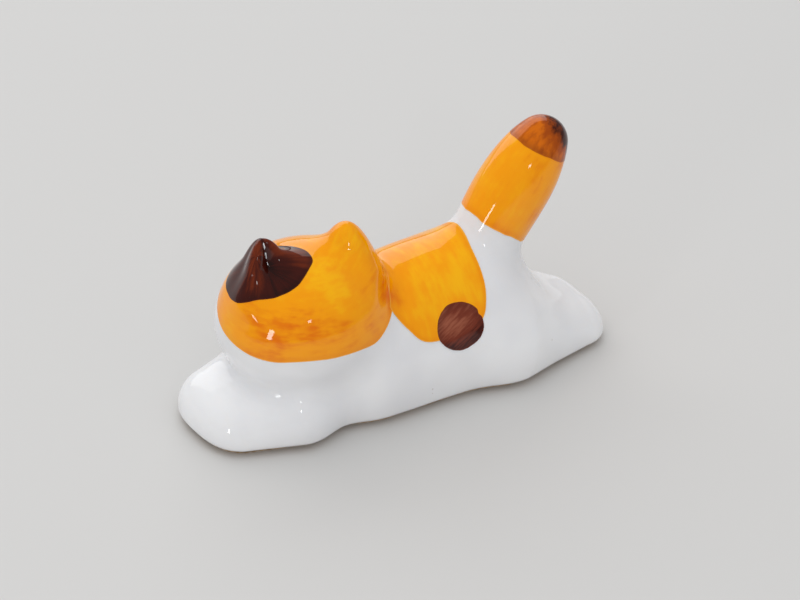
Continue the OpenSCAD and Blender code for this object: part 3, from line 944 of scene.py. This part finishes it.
def times_plus(tree, value, factor, rest):
    """A value times a factor, plus the rest."""
    return add_node(tree, "Math", {0: value, 1: factor, 2: rest},
                    operation="MULTIPLY_ADD").outputs[0]


def spread(tree, value, low, high, low_to=0.0, high_to=1.0):
    """A value eased from one range to another, and held at its ends."""
    return add_node(tree, "MapRange", {0: value, 1: low, 2: high, 3: low_to, 4: high_to},
                    interpolation_type="SMOOTHSTEP").outputs[0]


def noise(tree, vector, scale, detail=2.0, roughness=0.5):
    """Noise from 0 to 1 over a vector, with more small marks as detail and roughness grow."""
    return add_node(tree, "TexNoise", {"Vector": vector, "Scale": scale, "Detail": detail,
                                       "Roughness": roughness}).outputs["Fac"]


def attribute(tree, name, output):
    """Values that a mesh carries under a name."""
    return add_node(tree, "Attribute", attribute_name=name).outputs[output]


def linear(red, green, blue):
    """A colour of the screen, from 0 to 255, as light, by the standard curve between them."""
    channels = [c / 255 for c in (red, green, blue)]
    return [c / 12.92 if c <= 0.04045 else ((c + 0.055) / 1.055) ** 2.4 for c in channels] + [1.0]


def new_material(name):
    """A material with its tree, its shader and the place of a point on the object, in metres."""
    material = bpy.data.materials.new(name)
    material.use_nodes = True
    tree = material.node_tree
    place = add_node(tree, "TexCoord").outputs["Object"]
    return material, tree, tree.nodes["Principled BSDF"], place


def glazed(name, ridges=0.0):
    """A material under clear glaze, whose skin ripples a little and has a few pinholes. Colour
    below it leaves shallow ridges along the strokes of the brush."""
    material, tree, shader, place = new_material(name)
    ripple = noise(tree, place, GLAZE_RIPPLES, 2.0, 0.45)
    pores = spread(tree, noise(tree, place, GLAZE_PINHOLES, 1.0), *PINHOLE_RANGE)
    height = times_plus(tree, pores, -PINHOLE_DEPTH, ripple)
    if ridges:
        strokes = noise(tree, attribute(tree, "strokes", "Vector"), STROKE_RIDGES)
        height = times_plus(tree, strokes, ridges, height)
    bump = add_node(tree, "Bump", {"Strength": 0.35, "Distance": 0.0001, "Height": height})
    tree.links.new(bump.outputs[0], shader.inputs["Coat Normal"])
    tree.links.new(bump.outputs[0], shader.inputs["Normal"])
    shader.inputs["Roughness"].default_value = 0.5
    shader.inputs["Specular IOR Level"].default_value = 0.0
    shader.inputs["Coat Weight"].default_value = 1.0
    shader.inputs["Coat Roughness"].default_value = 0.03
    shader.inputs["Coat IOR"].default_value = 1.44
    return material, tree, shader, place


def white_glaze():
    """White porcelain, a little cloudy, with a few iron specks. Just over the foot the glaze
    thins out, and the clay shows through."""
    material, tree, shader, place = glazed("white_glaze")
    cloud = spread(tree, noise(tree, place, WHITE_CLOUDS), *STAIN_RANGE)
    white = mix(tree, cloud, linear(*COOL_WHITE), linear(*CLEAR_WHITE))
    speck = spread(tree, noise(tree, place, WHITE_SPECKS, 0.0), *SPECK_RANGE, 0.0, SPECK_STRENGTH)
    white = mix(tree, speck, white, linear(*IRON_SPECK))
    height = add_node(tree, "SeparateXYZ", {0: place}).outputs["Z"]
    ragged = times_plus(tree, noise(tree, place, GLAZE_END_RAGS), GLAZE_END_RAG_HEIGHT, height)
    colour = mix(tree, spread(tree, ragged, *GLAZE_END), linear(*CLAY), white)
    tree.links.new(colour, shader.inputs["Base Color"])
    shader.inputs["Subsurface Weight"].default_value = 0.25
    shader.inputs["Subsurface Scale"].default_value = 0.001
    shader.inputs["Subsurface Radius"].default_value = (1.0, 0.9, 0.8)
    return material


def brushed(name, deep, middle, light, edge, streak_share):
    """Ceramic colour brushed on under the glaze: deep where it lies thick, light where it lies
    thin, with streaks along the strokes, clouds where the brush was full, and an edge where the
    colour gathers and then thins out. Painted shade and painted light in the wash_and_shade
    attribute also make it deep and light."""
    material, tree, shader, place = glazed(name, PAINT_RIDGES)
    strokes = attribute(tree, "strokes", "Vector")
    rim = attribute(tree, "rim", "Fac")
    streaks = spread(tree, noise(tree, strokes, STROKE_STREAKS, 3.0, 0.55), *STREAK_RANGE,
                     *STREAK_SWING)
    clouds = spread(tree, noise(tree, place, COLOUR_CLOUDS, 3.0, 0.55), *CLOUD_RANGE, *CLOUD_SWING)
    streaked_wash_and_shade = times_plus(tree, streaks, streak_share, attribute(tree, "wash_and_shade", "Fac"))
    thick = add_node(tree, "Math", {0: streaked_wash_and_shade, 1: clouds}, operation="ADD").outputs[0]

    # The colour is light where the thickness, with its painted shade and painted light, is 0,
    # middle at a half and deep at 1
    colour = mix(tree, spread(tree, thick, 0.0, 0.5), linear(*light), linear(*middle))
    colour = mix(tree, spread(tree, thick, 0.5, 1.0), colour, linear(*deep))
    colour = mix(tree, spread(tree, rim, *GATHER_RANGE, *GATHER_FADE), colour, linear(*deep))
    colour = mix(tree, spread(tree, rim, *THIN_RANGE, *THIN_FADE), colour, linear(*edge))
    tree.links.new(colour, shader.inputs["Base Color"])
    return material


def bare_clay():
    """Unglazed clay, stained in clouds and gritty."""
    material, tree, shader, place = new_material("bare_clay")
    grit = noise(tree, place, CLAY_GRIT, 4.0, 0.7)
    stain = spread(tree, noise(tree, place, CLAY_STAINS), *STAIN_RANGE)
    colour = mix(tree, stain, linear(*WARM_CLAY), linear(*CLAY))
    colour = mix(tree, spread(tree, grit, *GRIT_RANGE), colour, linear(*DARK_GRIT))
    bump = add_node(tree, "Bump", {"Strength": 0.6, "Distance": 0.00008, "Height": grit})
    tree.links.new(colour, shader.inputs["Base Color"])
    tree.links.new(bump.outputs[0], shader.inputs["Normal"])
    shader.inputs["Roughness"].default_value = 0.9
    return material


# Stage and light. Each softbox has its way from the figure, its distance, its width and height
# in metres, its power in watts, and whether the glaze mirrors it.
FLOOR_SIZE = 6
FLOOR_COLOUR = (212, 211, 209)
SKY_COLOUR = (230, 231, 233)
SKY_STRENGTH = 0.76
BACKDROP_COLOUR = (224, 224, 224)
BACKDROP_STRENGTH = 0.36
SOFTBOXES = {"window": ((-0.86, -0.46, 0.20), 0.5, (0.045, 0.11), 0.2, True),
             "front_box": ((-0.22, -0.85, 0.55), 0.6, (0.05, 0.04), 0.08, True),
             "fill_box": ((-0.20, -0.62, 0.85), 0.7, (1.1, 0.5), 0.8, False),
             "top_box": ((-0.15, 0.15, 1.0), 0.7, (0.6, 0.6), 0.8, False),
             "back_box": ((0.10, 0.87, 0.50), 0.8, (1.0, 0.72), 2.65, True)}


def add_stage():
    """A wide pale floor."""
    bpy.ops.mesh.primitive_plane_add(size=FLOOR_SIZE)
    floor = bpy.context.object
    floor.name = "floor"
    material = bpy.data.materials.new("pale_floor")
    material.use_nodes = True
    shader = material.node_tree.nodes["Principled BSDF"]
    shader.inputs["Base Color"].default_value = linear(*FLOOR_COLOUR)
    shader.inputs["Roughness"].default_value = 0.9
    shader.inputs["Specular IOR Level"].default_value = 0.1
    floor.data.materials.append(material)


def add_lamp(name, way, distance, size, power, mirrored):
    """A softbox that faces the figure."""
    light = bpy.data.lights.new(name, "AREA")
    light.shape = "RECTANGLE"
    light.size, light.size_y = size
    light.energy = power
    lamp = bpy.data.objects.new(name, light)
    bpy.context.scene.collection.objects.link(lamp)
    lamp.visible_glossy = mirrored
    lamp.location = Vector(unit(way).tolist()) * distance
    lamp.rotation_euler = lamp.location.to_track_quat("Z", "Y").to_euler()


def add_world():
    """Even light all round, while the camera and the glaze see a plain grey backdrop."""
    world = bpy.data.worlds.new("studio")
    bpy.context.scene.world = world
    world.use_nodes = True
    tree = world.node_tree
    around = tree.nodes["Background"]
    around.inputs[0].default_value = linear(*SKY_COLOUR)
    around.inputs[1].default_value = SKY_STRENGTH
    backdrop = add_node(tree, "Background", {0: linear(*BACKDROP_COLOUR), 1: BACKDROP_STRENGTH})
    path = add_node(tree, "LightPath").outputs
    seen = path["Is Camera Ray"]
    for ray in ("Is Glossy Ray", "Is Transmission Ray"):
        seen = add_node(tree, "Math", {0: seen, 1: path[ray]}, operation="MAXIMUM").outputs[0]
    pick = add_node(tree, "MixShader", {0: seen, 1: around.outputs[0], 2: backdrop.outputs[0]})
    tree.links.new(pick.outputs[0], tree.nodes["World Output"].inputs[0])


# The camera looks along an azimuth and down an elevation, and sees the origin of the driving
# sizes at a pixel of the picture. Its clip distances are in metres.
CAMERA_AZIMUTH = -29.0
CAMERA_ELEVATION = 35.0
CAMERA_DISTANCE = 400.0
CAMERA_FOCAL_PIXELS = 2840.0
CAMERA_CLIP = (0.01, 20)
FRAME_PIXELS = (800, 600)
ORIGIN_PIXEL = (390.1, 371.5)


def add_camera():
    """A camera with the view of the picture."""
    azimuth, elevation = math.radians(CAMERA_AZIMUTH), math.radians(CAMERA_ELEVATION)
    right = np.array([math.cos(azimuth), math.sin(azimuth), 0])
    back = np.array([math.sin(azimuth) * math.cos(elevation),
                     -math.cos(azimuth) * math.cos(elevation), math.sin(elevation)])
    up = np.cross(back, right)
    off = (np.array(FRAME_PIXELS) / 2 - ORIGIN_PIXEL) * CAMERA_DISTANCE / CAMERA_FOCAL_PIXELS
    place = FIGURE_SHIFT + off[0] * right - off[1] * up + CAMERA_DISTANCE * back
    camera = bpy.data.objects.new("camera", bpy.data.cameras.new("camera"))
    bpy.context.scene.collection.objects.link(camera)
    bpy.context.scene.camera = camera
    camera.data.lens = CAMERA_FOCAL_PIXELS / FRAME_PIXELS[0] * camera.data.sensor_width
    camera.data.clip_start, camera.data.clip_end = CAMERA_CLIP
    turn = Matrix(np.stack([right, up, back], axis=1).tolist()).to_4x4()
    camera.matrix_world = Matrix.Translation((place * MM).tolist()) @ turn


add_camera()
add_stage()
add_world()
for name, box in SOFTBOXES.items():
    add_lamp(name, *box)

ORANGE, EAR_BROWN, SPOT_BROWN, TIP_BROWN, MARK_BROWN = [brushed(name, *paint)
                                                        for name, paint in PAINTS.items()]
SKIN = skin_mesh()
add_body(SKIN, white_glaze())
add_head_cap(SKIN, ORANGE)
add_ear_patch(SKIN, EAR_BROWN)
add_back_patch(SKIN, ORANGE)
add_flank_spot(SKIN, SPOT_BROWN)
add_tail_band(SKIN, ORANGE)
add_tail_tip(SKIN, TIP_BROWN)
add_face(SKIN, MARK_BROWN)
add_foot(bare_clay())

bpy.context.scene.view_settings.view_transform = "Standard"

bpy.context.view_layer.update()
